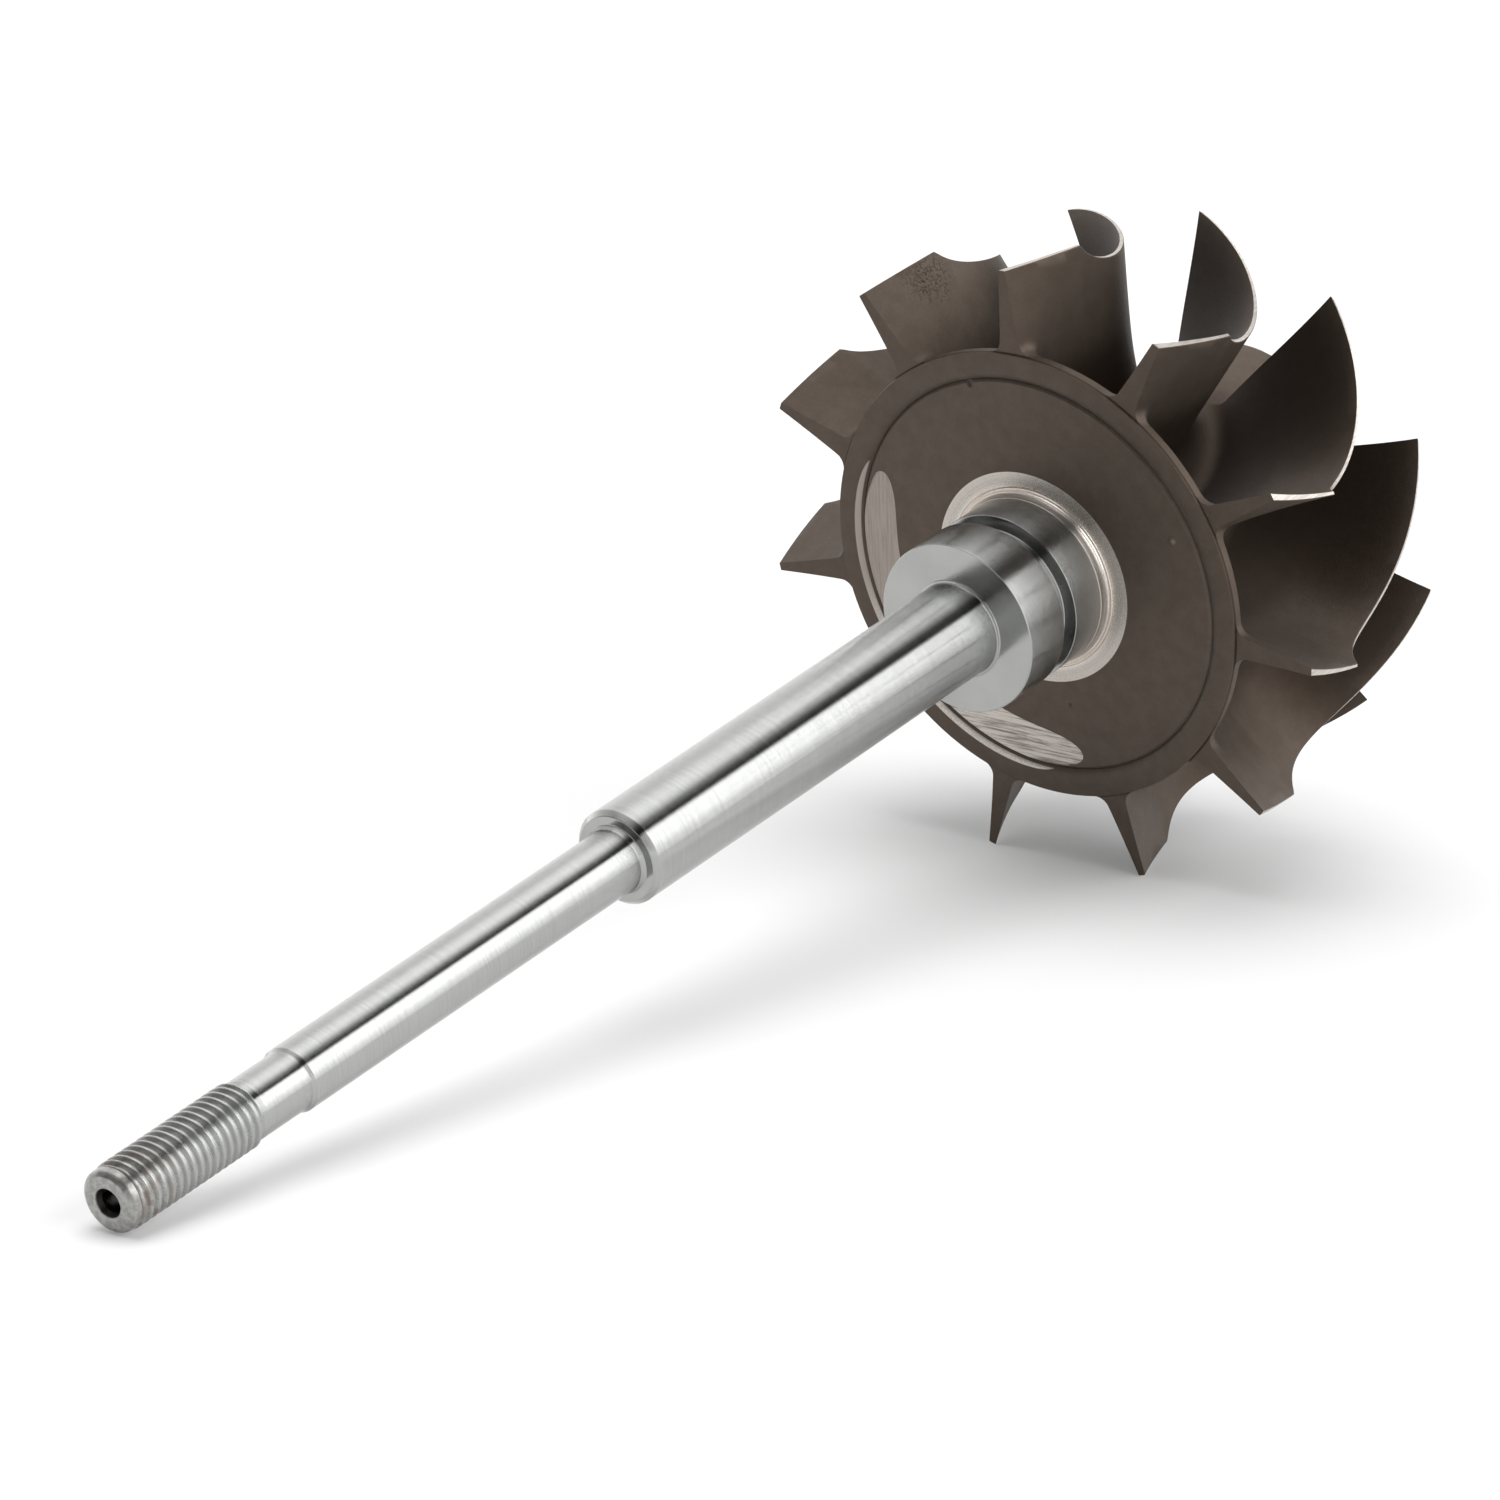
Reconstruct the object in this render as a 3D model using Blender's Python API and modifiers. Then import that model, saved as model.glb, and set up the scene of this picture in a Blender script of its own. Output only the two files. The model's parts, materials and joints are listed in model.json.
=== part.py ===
"""Turbocharger turbine wheel on its shaft, lying on a flat surface, in metres and +Z up.

The wheel is one casting in reality: a hub with its back disc, and eleven blades. The shaft
is one turned piece, welded to the casting behind the seal boss.

Everything is modelled on the rotor's own axis, which is local Z: s is the distance along it
from the front face of the seal boss, towards the nose of the wheel, and r is the radius.
The rotor then lies on two blade corners and on the edge of its threaded end.
"""

import math

import bmesh
import bpy
from mathutils import Vector

MM = 0.001

# driving dimensions in millimetres
BLADE_COUNT = 11
GAP = 0.3

THREAD_R = 3.0
THREAD_END_S = -118.8
THREAD_CHAMFER = 0.5
THREAD_START_S = -101.9
RELIEF_R = 2.74
STUB_R = 3.0
STUB_END_S = -95.8
CENTRE_HOLE_R = 1.0
JOURNAL_R = 4.5
JOURNAL_END_S = -50.9
JOURNAL_CHAMFER = 0.45
BOSS_R = 8.28
BOSS_CHAMFER = 0.15
BOSS_FILLET = 0.5
GROOVE_FRONT_S = 5.1
GROOVE_BACK_S = 7.1
GROOVE_R = 6.9
COLLAR_R = 8.21

BACK_S = 11.98
PAD_S = 11.4
PAD_R = 8.4
PAD_FOOT_R = 8.95
MACHINED_R = 10.43
GRIND_R = 19.4
RIM_BACK_S = 12.39
RIM_FRONT_S = 13.4
RIM_R = 22.1
RIM_CHAMFER = 0.15
HUB_NOSE_R = 8.9
HUB_NOSE_S = 37.2
NOSE_SHOULDER_S = 48.0
NOSE_CHAMFER = 0.5
NOSE_END_S = 51.0
NOSE_HEX_R = 7.5
NOSE_HEX_TURN = -10.0
NOSE_HOLE_R = 1.5
NOSE_HOLE_DEPTH = 2.6

GRIND_DEPTH = 0.25
GRIND_OFFSET = 6.96
GRIND_INNER_R = 21.96
GRIND_ANGLE = 232.5

TIP_R = 30.25
TIP_BACK_S = 12.35
TIP_FRONT_S = 20.37
TIP_FRONT_ANGLE = 5.6
EXDUCER_R = 27.1
EXDUCER_S = 37.8
EXDUCER_ANGLE = -23.8
EXDUCER_LEAN = -12.3

BLADE_STATIONS = 14
BLADE_SPANS = 5
HALF_TIP_BACK = 0.38
HALF_TIP_FRONT = 0.2
HALF_SHROUD = 0.28
HALF_RIM = 1.2
HALF_ROOT = 0.85
ROOT_FLARE = 0.8

HUB_STEPS = 66
SHAFT_STEPS = 48

CASTING_COLOUR = (0.125, 0.098, 0.082, 1.0)
STEEL_COLOUR = (0.62, 0.61, 0.60, 1.0)


def bezier(points, t):
    """A point on a cubic curve with four control points."""
    weights = ((1 - t) ** 3, 3 * t * (1 - t) ** 2, 3 * t * t * (1 - t), t ** 3)
    return tuple(sum(w * p[i] for w, p in zip(weights, points)) for i in range(len(points[0])))


def arc(centre_r, centre_s, radius, start, end, steps):
    """Points (r, s) on an arc, its angles in degrees from the outward direction."""
    points = []
    for i in range(steps + 1):
        angle = math.radians(start + (end - start) * i / steps)
        points.append((centre_r + radius * math.cos(angle), centre_s + radius * math.sin(angle)))
    return points


def clear_scene():
    for item in list(bpy.data.objects):
        bpy.data.objects.remove(item, do_unlink=True)


def new_collection(name):
    collection = bpy.data.collections.new(name)
    bpy.context.scene.collection.children.link(collection)
    return collection


def metal(name, colour, roughness):
    material = bpy.data.materials.new(name)
    material.use_nodes = True
    shader = material.node_tree.nodes["Principled BSDF"]
    shader.inputs["Base Color"].default_value = colour
    shader.inputs["Metallic"].default_value = 1.0
    shader.inputs["Roughness"].default_value = roughness
    return material


def add_object(name, mesh, collection, parent, material=None):
    item = bpy.data.objects.new(name, mesh)
    collection.objects.link(item)
    item.parent = parent
    if material:
        mesh.materials.append(material)
    return item


def turned_mesh(name, profile):
    """The edges of a profile given as (r, s) in millimetres, from the top to the bottom."""
    mesh = bpy.data.meshes.new(name)
    points = [(r * MM, 0.0, s * MM) for r, s in profile]
    edges = [(i, i + 1) for i in range(len(points) - 1)]
    mesh.from_pydata(points, edges, [])
    return mesh


def add_turned(name, profile, steps, collection, parent, material=None):
    item = add_object(name, turned_mesh(name, profile), collection, parent, material)
    screw = item.modifiers.new("Turned", "SCREW")
    screw.axis = "Z"
    screw.steps = steps
    screw.render_steps = steps
    screw.use_merge_vertices = True
    screw.merge_threshold = 0.000001
    screw.use_smooth_shade = True
    return item


def add_cylinder(name, radius, low_s, high_s, segments, collection, parent):
    mesh = bpy.data.meshes.new(name)
    form = bmesh.new()
    bmesh.ops.create_cone(form, cap_ends=True, segments=segments, radius1=radius * MM,
                          radius2=radius * MM, depth=(high_s - low_s) * MM)
    form.to_mesh(mesh)
    form.free()
    item = add_object(name, mesh, collection, parent)
    item.location.z = (low_s + high_s) / 2 * MM
    item.hide_render = True
    item.display_type = "WIRE"
    return item


def add_boolean(item, tool, operation):
    modifier = item.modifiers.new(tool.name, "BOOLEAN")
    modifier.operation = operation
    modifier.solver = "EXACT"
    modifier.object = tool
    return modifier


def hub_curve(t):
    """Hub line of a passage as (s, r), from the rim of the back disc to the exducer."""
    return bezier(((RIM_FRONT_S, RIM_R), (14.6, 12.4), (22.5, 9.2), (HUB_NOSE_S, HUB_NOSE_R)), t)


def shroud_curve(t):
    """Outer edge of a blade as (s, r, angle), from the inducer tip to the exducer tip."""
    return bezier(((TIP_FRONT_S, TIP_R, TIP_FRONT_ANGLE), (22.9, 26.2, 5.5),
                   (31.15, 26.3, 12.15), (EXDUCER_S, EXDUCER_R, EXDUCER_ANGLE)), t)


def camber_angle(s):
    """Angle of the blade's middle surface in degrees at the distance s along the axis."""
    if s <= TIP_FRONT_S:
        t = (s - TIP_BACK_S) / (TIP_FRONT_S - TIP_BACK_S)
        return TIP_FRONT_ANGLE * (1.27 * t - 0.27 * t * t)
    low, high = 0.0, 1.0
    for _ in range(40):
        middle = (low + high) / 2
        if shroud_curve(middle)[0] < s:
            low = middle
        else:
            high = middle
    return shroud_curve(low)[2]


def hub_profile():
    nose = [(0.0, NOSE_SHOULDER_S), (HUB_NOSE_R - NOSE_CHAMFER, NOSE_SHOULDER_S),
            (HUB_NOSE_R, NOSE_SHOULDER_S - NOSE_CHAMFER)]
    curve = [hub_curve(1 - i / 12) for i in range(13)]
    passage = [(r, s) for s, r in curve]
    back = [(RIM_R, RIM_BACK_S + RIM_CHAMFER), (RIM_R - RIM_CHAMFER, RIM_BACK_S),
            (GRIND_R, RIM_BACK_S - 0.1), (GRIND_R - 0.15, BACK_S + 0.12),
            (MACHINED_R, BACK_S), (PAD_FOOT_R, BACK_S - 0.04),
            (PAD_R + 0.1, PAD_S + 0.15), (PAD_R, PAD_S), (0.0, PAD_S)]
    return nose + passage + back


def shaft_profile():
    fillet = arc(JOURNAL_R + BOSS_FILLET, -BOSS_FILLET, BOSS_FILLET, 90, 180, 3)
    return [
        (0.0, PAD_S - GAP),
        (COLLAR_R, PAD_S - GAP),
        (COLLAR_R, GROOVE_BACK_S),
        (GROOVE_R, GROOVE_BACK_S),
        (GROOVE_R, GROOVE_FRONT_S),
        (BOSS_R, GROOVE_FRONT_S),
        (BOSS_R, BOSS_CHAMFER),
        (BOSS_R - BOSS_CHAMFER, 0.0),
        *fillet,
        (JOURNAL_R, JOURNAL_END_S + JOURNAL_CHAMFER),
        (JOURNAL_R - JOURNAL_CHAMFER, JOURNAL_END_S),
        (STUB_R + 0.3, JOURNAL_END_S),
        (STUB_R, JOURNAL_END_S - 0.3),
        (STUB_R, STUB_END_S + 0.3),
        (RELIEF_R, STUB_END_S),
        (RELIEF_R, THREAD_START_S),
        (THREAD_R, THREAD_START_S - 0.3),
        (THREAD_R, THREAD_END_S + THREAD_CHAMFER),
        (THREAD_R - THREAD_CHAMFER, THREAD_END_S),
        (CENTRE_HOLE_R, THREAD_END_S),
        (0.0, THREAD_END_S + 1.73 * CENTRE_HOLE_R),
    ]


def root_line():
    """Lower edge of a blade as (s, r): the back edge, the rim, then along the hub."""
    clear_r = RIM_R + GAP
    line = [(TIP_BACK_S, TIP_R + (clear_r - TIP_R) * i / 3) for i in range(4)]
    line.append((RIM_FRONT_S + 0.1, clear_r))
    along = BLADE_STATIONS - len(line)
    for i in range(1, along + 1):
        line.append(above_hub(0.03 + 0.948 * i / along))
    return line


def above_hub(t):
    """A point one gap off the hub line, square to it."""
    s, r = hub_curve(t)
    next_s, next_r = hub_curve(t + 0.01)
    length = math.hypot(next_s - s, next_r - r)
    return s - (next_r - r) / length * GAP, r + (next_s - s) / length * GAP


def line_fractions(line):
    lengths = [0.0]
    for a, b in zip(line, line[1:]):
        lengths.append(lengths[-1] + math.hypot(b[0] - a[0], b[1] - a[1]))
    return [length / lengths[-1] for length in lengths]


def half_thickness(along, span, height):
    """Half of the blade's thickness: thin at the shroud, flared where it meets the hub."""
    at_tip = HALF_TIP_FRONT + (HALF_SHROUD - HALF_TIP_FRONT) * min(1.0, along * 3)
    to_rim = min(1.0, along / 0.2)
    at_root = HALF_TIP_BACK + (HALF_RIM - HALF_TIP_BACK) * to_rim
    at_root += (HALF_ROOT - HALF_RIM) * max(0.0, along - 0.2)
    flare = 0.4 * to_rim * max(0.0, 1 - height / ROOT_FLARE) ** 2
    return at_root + (at_tip - at_root) * span + flare


def blade_grid():
    """Points of the middle surface as (s, r, angle, half thickness), station by station."""
    root = root_line()
    grid = []
    for (root_s, root_r), along in zip(root, line_fractions(root)):
        tip_s, tip_r, _ = shroud_curve(along)
        length = math.hypot(tip_s - root_s, tip_r - root_r)
        station = []
        for j in range(BLADE_SPANS):
            span = (j / (BLADE_SPANS - 1)) ** 1.3
            s = root_s + (tip_s - root_s) * span
            r = root_r + (tip_r - root_r) * span
            lean = EXDUCER_LEAN * along ** 6 * (1 - span)
            half = half_thickness(along, span, length * span)
            station.append((s, r, camber_angle(s) + lean, half))
        grid.append(station)
    return grid


def blade_side(form, grid, sign):
    side = []
    for station in grid:
        row = []
        for s, r, angle, half in station:
            turn = math.radians(angle) + sign * half / r
            row.append(form.verts.new((r * MM * math.cos(turn), r * MM * math.sin(turn), s * MM)))
        side.append(row)
    return side


def blade_mesh():
    """One blade: two lofted sides, joined round their whole edge."""
    grid = blade_grid()
    form = bmesh.new()
    low = blade_side(form, grid, -1)
    high = blade_side(form, grid, 1)
    for i in range(BLADE_STATIONS - 1):
        for j in range(BLADE_SPANS - 1):
            form.faces.new((low[i][j], low[i + 1][j], low[i + 1][j + 1], low[i][j + 1]))
            form.faces.new((high[i][j], high[i][j + 1], high[i + 1][j + 1], high[i + 1][j]))
    border = [(i, 0) for i in range(BLADE_STATIONS)]
    border += [(BLADE_STATIONS - 1, j) for j in range(1, BLADE_SPANS)]
    border += [(i, BLADE_SPANS - 1) for i in range(BLADE_STATIONS - 2, -1, -1)]
    border += [(0, j) for j in range(BLADE_SPANS - 2, 0, -1)]
    for (i, j), (k, m) in zip(border, border[1:] + border[:1]):
        form.faces.new((low[i][j], high[i][j], high[k][m], low[k][m]))
    bmesh.ops.recalc_face_normals(form, faces=form.faces)
    mesh = bpy.data.meshes.new("blade")
    form.to_mesh(mesh)
    form.free()
    mesh.shade_smooth()
    mesh.set_sharp_from_angle(angle=math.radians(35))
    return mesh


def add_hub(parts, cutters, rotor):
    material = metal("hub_casting", CASTING_COLOUR, 0.55)
    hub = add_turned("hub", hub_profile(), HUB_STEPS, parts, rotor, material)
    nose = add_cylinder("nose_hexagon", NOSE_HEX_R, NOSE_SHOULDER_S - 2, NOSE_END_S, 6, cutters,
                        rotor)
    nose.rotation_euler.z = math.radians(NOSE_HEX_TURN)
    add_boolean(hub, nose, "UNION")
    hole = add_cylinder("nose_hole", NOSE_HOLE_R, NOSE_END_S - NOSE_HOLE_DEPTH, NOSE_END_S + 1,
                        24, cutters, rotor)
    add_boolean(hub, hole, "DIFFERENCE")
    grind = add_cylinder("balance_grind", GRIND_R - 0.3, BACK_S - 1, BACK_S + GRIND_DEPTH, 96,
                         cutters, rotor)
    keep = add_cylinder("balance_grind_edge", GRIND_INNER_R, BACK_S - 2, BACK_S + 2, 96,
                        cutters, rotor)
    away = math.radians(GRIND_ANGLE + 180)
    keep.location.x = GRIND_OFFSET * MM * math.cos(away)
    keep.location.y = GRIND_OFFSET * MM * math.sin(away)
    add_boolean(grind, keep, "DIFFERENCE")
    add_boolean(hub, grind, "DIFFERENCE")
    return hub


def add_blades(parts, rotor):
    mesh = blade_mesh()
    mesh.materials.append(metal("blade_casting", CASTING_COLOUR, 0.55))
    for number in range(BLADE_COUNT):
        blade = add_object(f"blade_{number + 1:02d}", mesh, parts, rotor)
        blade.rotation_euler.z = math.tau * number / BLADE_COUNT


def add_shaft(parts, rotor):
    material = metal("shaft_steel", STEEL_COLOUR, 0.25)
    return add_turned("shaft", shaft_profile(), SHAFT_STEPS, parts, rotor, material)


def rest_tilt():
    """Slope of the axis when the rotor lies on two blade corners and its threaded end."""
    corner_angle = math.pi / BLADE_COUNT - HALF_TIP_BACK / TIP_R
    drop = TIP_R * math.cos(corner_angle) - THREAD_R
    return math.atan2(drop, TIP_BACK_S - THREAD_END_S - THREAD_CHAMFER)


def place_rotor(rotor, parts):
    """Blade 01 points up, and the middle of the box's lower side is the origin."""
    rotor.rotation_mode = "ZYX"
    rotor.rotation_euler = (0.0, math.pi / 2 - rest_tilt(), math.pi)
    bpy.context.view_layer.update()
    depsgraph = bpy.context.evaluated_depsgraph_get()
    corners = []
    for item in parts.objects:
        solid = item.evaluated_get(depsgraph)
        corners += [solid.matrix_world @ vertex.co for vertex in solid.data.vertices]
    low = Vector([min(point[i] for point in corners) for i in range(3)])
    high = Vector([max(point[i] for point in corners) for i in range(3)])
    rotor.location = (-(low.x + high.x) / 2, -(low.y + high.y) / 2, -low.z)


def main():
    clear_scene()
    parts = new_collection("turbine_wheel")
    cutters = new_collection("cutters")
    rotor = bpy.data.objects.new("rotor", None)
    parts.objects.link(rotor)
    add_hub(parts, cutters, rotor)
    add_blades(parts, rotor)
    add_shaft(parts, rotor)
    parts.objects.unlink(rotor)
    cutters.objects.link(rotor)
    place_rotor(rotor, parts)


main()
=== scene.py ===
"""Looks of the turbocharger turbine wheel: the blasted casting with its ground edges, the
ground and polished shaft with its thread, a pale floor and soft studio light.

Shapes are worked out in millimetres on the rotor's own axis, as the CAD part does: s runs
along the axis from the front face of the seal boss towards the nose, r is the radius, and
angles are measured from the direction of blade 01. Each finished mesh is then put in place.
"""

import json
import math

import bmesh
import bpy
from mathutils import Matrix, Vector


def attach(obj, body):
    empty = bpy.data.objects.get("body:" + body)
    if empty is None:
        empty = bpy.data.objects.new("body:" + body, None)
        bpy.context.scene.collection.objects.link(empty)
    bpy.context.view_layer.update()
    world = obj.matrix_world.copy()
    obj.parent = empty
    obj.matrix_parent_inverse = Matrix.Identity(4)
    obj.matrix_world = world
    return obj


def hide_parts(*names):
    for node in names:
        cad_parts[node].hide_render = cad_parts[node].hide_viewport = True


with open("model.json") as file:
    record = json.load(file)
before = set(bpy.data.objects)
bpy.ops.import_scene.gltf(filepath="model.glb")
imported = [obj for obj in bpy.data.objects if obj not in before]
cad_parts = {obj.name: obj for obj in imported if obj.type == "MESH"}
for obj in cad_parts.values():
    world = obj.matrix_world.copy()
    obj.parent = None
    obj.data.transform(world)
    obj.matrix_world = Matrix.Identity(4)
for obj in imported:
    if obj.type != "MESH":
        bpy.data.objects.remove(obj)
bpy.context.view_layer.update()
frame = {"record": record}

# the casting, in millimetres
BLADE_COUNT = 11
BLADE_STEP = math.tau / BLADE_COUNT
MACHINED_R = 10.43
MACHINED_S = 11.98
PAD_R = 8.4
PAD_S = 11.3
PAD_FOOT_R = 8.95
LAND_R = 19.4
LAND_S = 12.3
RIM_BACK_S = 12.35
RIM_FRONT_S = 13.4
RIM_R = 22.1
RIM_ROUND = 0.3
HUB_NOSE_R = 8.9
HUB_NOSE_S = 37.2
NOSE_SHOULDER_S = 48.0
NOSE_ROUND = 0.5
NOSE_END_S = 51.0
NOSE_HEX_R = 7.5
NOSE_HEX_TURN = -10.0
NOSE_HOLE_R = 1.5
NOSE_HOLE_DEPTH = 2.6

# one blade, in millimetres and degrees
TIP_R = 30.25
TIP_BACK_S = 12.35
TIP_FRONT_S = 20.37
TIP_FRONT_ANGLE = 5.6
SHROUD_BEND_ONE = (22.9, 26.2, 5.5)
SHROUD_BEND_TWO = (31.15, 26.3, 12.15)
EXDUCER_R = 27.1
EXDUCER_S = 37.8
EXDUCER_ANGLE = -23.8
EXDUCER_TWIST = -0.207
EXDUCER_SLOPE = 0.087
HALF_TIP_BACK = 0.38
HALF_TIP_FRONT = 0.2
HALF_SHROUD = 0.26
HALF_RIM = 1.25
HALF_ROOT = 0.85
FILLET_RIM = 1.1
FILLET_ROOT = 1.6
EDGE_CHAMFER = 0.06

# balance grinding on the back face
GRIND_ANGLE = 232.5
GRIND_SWEEP = 63.0
GRIND_PATH_R = 17.4
GRIND_HALF = 2.05
GRIND_END_OUT = 0.5
GRIND_DEPTH = 0.2
STRIP_OFFSET = 6.0
STRIP_SWEEP = 58.5
STRIP_R = 20.35

# the shaft, in millimetres
BOSS_R = 8.28
COLLAR_R = 8.21
GROOVE_FRONT_S = 5.1
GROOVE_BACK_S = 7.1
GROOVE_R = 6.9
JOURNAL_R = 4.5
JOURNAL_END_S = -50.9
STUB_R = 3.0
STUB_END_S = -95.8
RELIEF_R = 2.74
THREAD_START_S = -101.9
THREAD_END_S = -118.8
THREAD_R = 3.0
THREAD_DEPTH = 0.42
THREAD_PITCH = 0.916
THREAD_END_R = 2.86
CENTRE_HOLE_R = 1.0
CENTRE_CONE_R = 1.35

# where the rotor lies, read from the record's mounts
MOUNTS = {mount["name"]: mount for mount in frame["record"]["mounts"]}
AXIS = Vector(MOUNTS["nose_face"]["axis"]).normalized()
BLADE_ONE_WAY = Vector((-AXIS.z, 0.0, AXIS.x))
SIDE_WAY = AXIS.cross(BLADE_ONE_WAY)
BOSS_MOUNT_R = 0.0066
ORIGIN = Vector(MOUNTS["seal_boss_face"]["pos_m"]) - BLADE_ONE_WAY * BOSS_MOUNT_R
PLACE = Matrix((
    (BLADE_ONE_WAY.x, SIDE_WAY.x, AXIS.x, ORIGIN.x),
    (BLADE_ONE_WAY.y, SIDE_WAY.y, AXIS.y, ORIGIN.y),
    (BLADE_ONE_WAY.z, SIDE_WAY.z, AXIS.z, ORIGIN.z),
    (0.0, 0.0, 0.0, 1.0),
)) @ Matrix.Scale(0.001, 4)


class Field:
    """A value or a colour that varies, as a node's output; arithmetic adds Math nodes."""

    def __init__(self, sheet, socket):
        self.sheet = sheet
        self.socket = socket

    def math(self, operation, *others, clamp=False):
        settings = {"operation": operation, "use_clamp": clamp}
        return self.sheet.node("ShaderNodeMath", settings, [self, *others])

    def __add__(self, other):
        return self.math("ADD", other)

    __radd__ = __add__

    def __sub__(self, other):
        return self.math("SUBTRACT", other)

    def __rsub__(self, other):
        return self.sheet.node("ShaderNodeMath", {"operation": "SUBTRACT"}, [other, self])

    def __mul__(self, other):
        return self.math("MULTIPLY", other)

    __rmul__ = __mul__

    def __truediv__(self, other):
        return self.math("DIVIDE", other)

    def __rpow__(self, other):
        return self.sheet.node("ShaderNodeMath", {"operation": "POWER"}, [other, self])

    def __pow__(self, other):
        return self.math("POWER", other)

    def ramp(self, low, high, to_low=0.0, to_high=1.0):
        """Eases from one value to another as this one goes from low to high."""
        settings = {"interpolation_type": "SMOOTHSTEP"}
        values = [self, low, high, to_low, to_high]
        return self.sheet.node("ShaderNodeMapRange", settings, values)


class Sheet:
    """A node tree under construction, for a material or for shapes."""

    def __init__(self, tree):
        self.tree = tree

    def node(self, kind, settings=None, values=(), output=0):
        """Adds a node; values are in socket order or named, None leaves a socket alone."""
        made = self.tree.nodes.new(kind)
        for name, value in (settings or {}).items():
            setattr(made, name, value)
        pairs = values.items() if isinstance(values, dict) else enumerate(values)
        for key, value in pairs:
            if isinstance(value, Field):
                self.tree.links.new(value.socket, made.inputs[key])
            elif value is not None:
                made.inputs[key].default_value = value
        return Field(self, made.outputs[output])

    def output(self, field, output):
        return Field(self, field.socket.node.outputs[output])

    def mix(self, factor, first, second, blend="MIX"):
        settings = {"data_type": "RGBA", "blend_type": blend}
        return self.node("ShaderNodeMix", settings, {0: factor, 6: first, 7: second}, 2)

    def noise(self, place, scale, detail=3.0, roughness=0.55):
        values = {"Vector": place, "Scale": scale, "Detail": detail, "Roughness": roughness}
        return self.node("ShaderNodeTexNoise", {}, values)

    def bump(self, height, strength, distance, under=None):
        values = {"Height": height, "Strength": strength, "Distance": distance, "Normal": under}
        return self.node("ShaderNodeBump", {}, values)


def new_material(name):
    material = bpy.data.materials.new(name)
    material.use_nodes = True
    sheet = Sheet(material.node_tree)
    shader = material.node_tree.nodes["Principled BSDF"]
    return material, sheet, shader


def connect(sheet, shader, **links):
    for name, value in links.items():
        socket = shader.inputs[name.replace("_", " ")]
        if isinstance(value, Field):
            sheet.tree.links.new(value.socket, socket)
        else:
            socket.default_value = value


def dot(sheet, place, way):
    settings = {"operation": "DOT_PRODUCT"}
    return sheet.node("ShaderNodeVectorMath", settings, [place, tuple(way)], 1)


def rotor_place(sheet):
    """Object coordinates turned into the rotor's own: two across, one along, in mm."""
    coordinates = sheet.node("ShaderNodeTexCoord", output=3)
    moved = sheet.node("ShaderNodeVectorMath", {"operation": "SUBTRACT"},
                       [coordinates, tuple(ORIGIN)])
    across_x = dot(sheet, moved, BLADE_ONE_WAY * 1000)
    across_y = dot(sheet, moved, SIDE_WAY * 1000)
    along = dot(sheet, moved, AXIS * 1000)
    return across_x, across_y, along


def vector(sheet, x, y, z):
    return sheet.node("ShaderNodeCombineXYZ", {}, [x, y, z])


def radius_of(x, y):
    return (x * x + y * y) ** 0.5


def named_mask(sheet, name):
    return sheet.node("ShaderNodeAttribute", {"attribute_name": name}, output=2)


CAST_DARK = (0.101, 0.078, 0.062, 1.0)
CAST_LIGHT = (0.114, 0.090, 0.072, 1.0)
CAST_PIT = (0.056, 0.043, 0.034, 1.0)
# warm dark brown used as painted shade deep in the casting's passages and along its rim crease
PAINTED_SHADE_BROWN = (0.036, 0.022, 0.014, 1.0)
GROUND_METAL = (0.62, 0.575, 0.53, 1.0)
GROUND_DULL = (0.33, 0.29, 0.26, 1.0)
GROUND_WORN = (0.24, 0.21, 0.185, 1.0)
MACHINED_METAL = (0.45, 0.41, 0.375, 1.0)
STEEL = (0.425, 0.43, 0.42, 1.0)
STEEL_DULL = (0.38, 0.385, 0.375, 1.0)
THREAD_BROWN = (0.25, 0.20, 0.17, 1.0)
END_GREY = (0.26, 0.25, 0.235, 1.0)
# colour of the centre hole's cone: painted shade with some dirt
HOLE_SHADE_AND_DIRT = (0.03, 0.028, 0.026, 1.0)
FOOT_METAL_HIGHLIGHT = (0.82, 0.77, 0.72, 1.0)
STEEL_SPREAD = 0.5
DISC_SPREAD = 0.22


def grind_angle(sheet, x, y):
    """Angle round the axis in degrees, measured from the middle of the balance grinding."""
    turn = math.radians(GRIND_ANGLE)
    ahead = x * math.cos(turn) + y * math.sin(turn)
    beside = y * math.cos(turn) - x * math.sin(turn)
    return beside.math("ARCTAN2", ahead) * (180 / math.pi)


def ground_strip(sheet, x, y, along):
    """Mask of the narrow strip that the grinding left outside the groove."""
    share = ((grind_angle(sheet, x, y) - STRIP_OFFSET) / STRIP_SWEEP).math("ABSOLUTE")
    ease = share.math("MINIMUM", 1.0) ** 8.0
    reach = LAND_R + (1.0 - ease).math("SQRT") * (STRIP_R - LAND_R)
    inside = (reach - radius_of(x, y)).ramp(0.0, 0.08)
    return inside * along.ramp(12.36, 12.3)


def casting_tone(sheet, place):
    """Colour of the blasted casting: fine mottling with a few darker pits."""
    cloud = sheet.noise(place, 0.6, 5.0, 0.6)
    speck = sheet.noise(place, 2.2, 3.0, 0.6)
    tone = sheet.mix(cloud.ramp(0.3, 0.7), CAST_DARK, CAST_LIGHT)
    return sheet.mix(speck.ramp(0.62, 0.8) * 0.3, tone, CAST_PIT)


def spread_normal(sheet, way, amount, seed):
    """A normal tilted to and fro along a direction, by marks too fine to be seen."""
    settings = {"noise_dimensions": "1D"}
    fine = sheet.node("ShaderNodeTexWhiteNoise", settings, {"W": seed})
    finer = sheet.node("ShaderNodeTexWhiteNoise", settings, {"W": seed * 1.37 + 5.0})
    tilt = sheet.node("ShaderNodeVectorMath", {"operation": "SCALE"},
                      {0: way, "Scale": (fine + finer - 1.0) * amount})
    outward = sheet.node("ShaderNodeNewGeometry", output=1)
    tilted = sheet.node("ShaderNodeVectorMath", {"operation": "ADD"}, [outward, tilt])
    return sheet.node("ShaderNodeVectorMath", {"operation": "NORMALIZE"}, [tilted])


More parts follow.
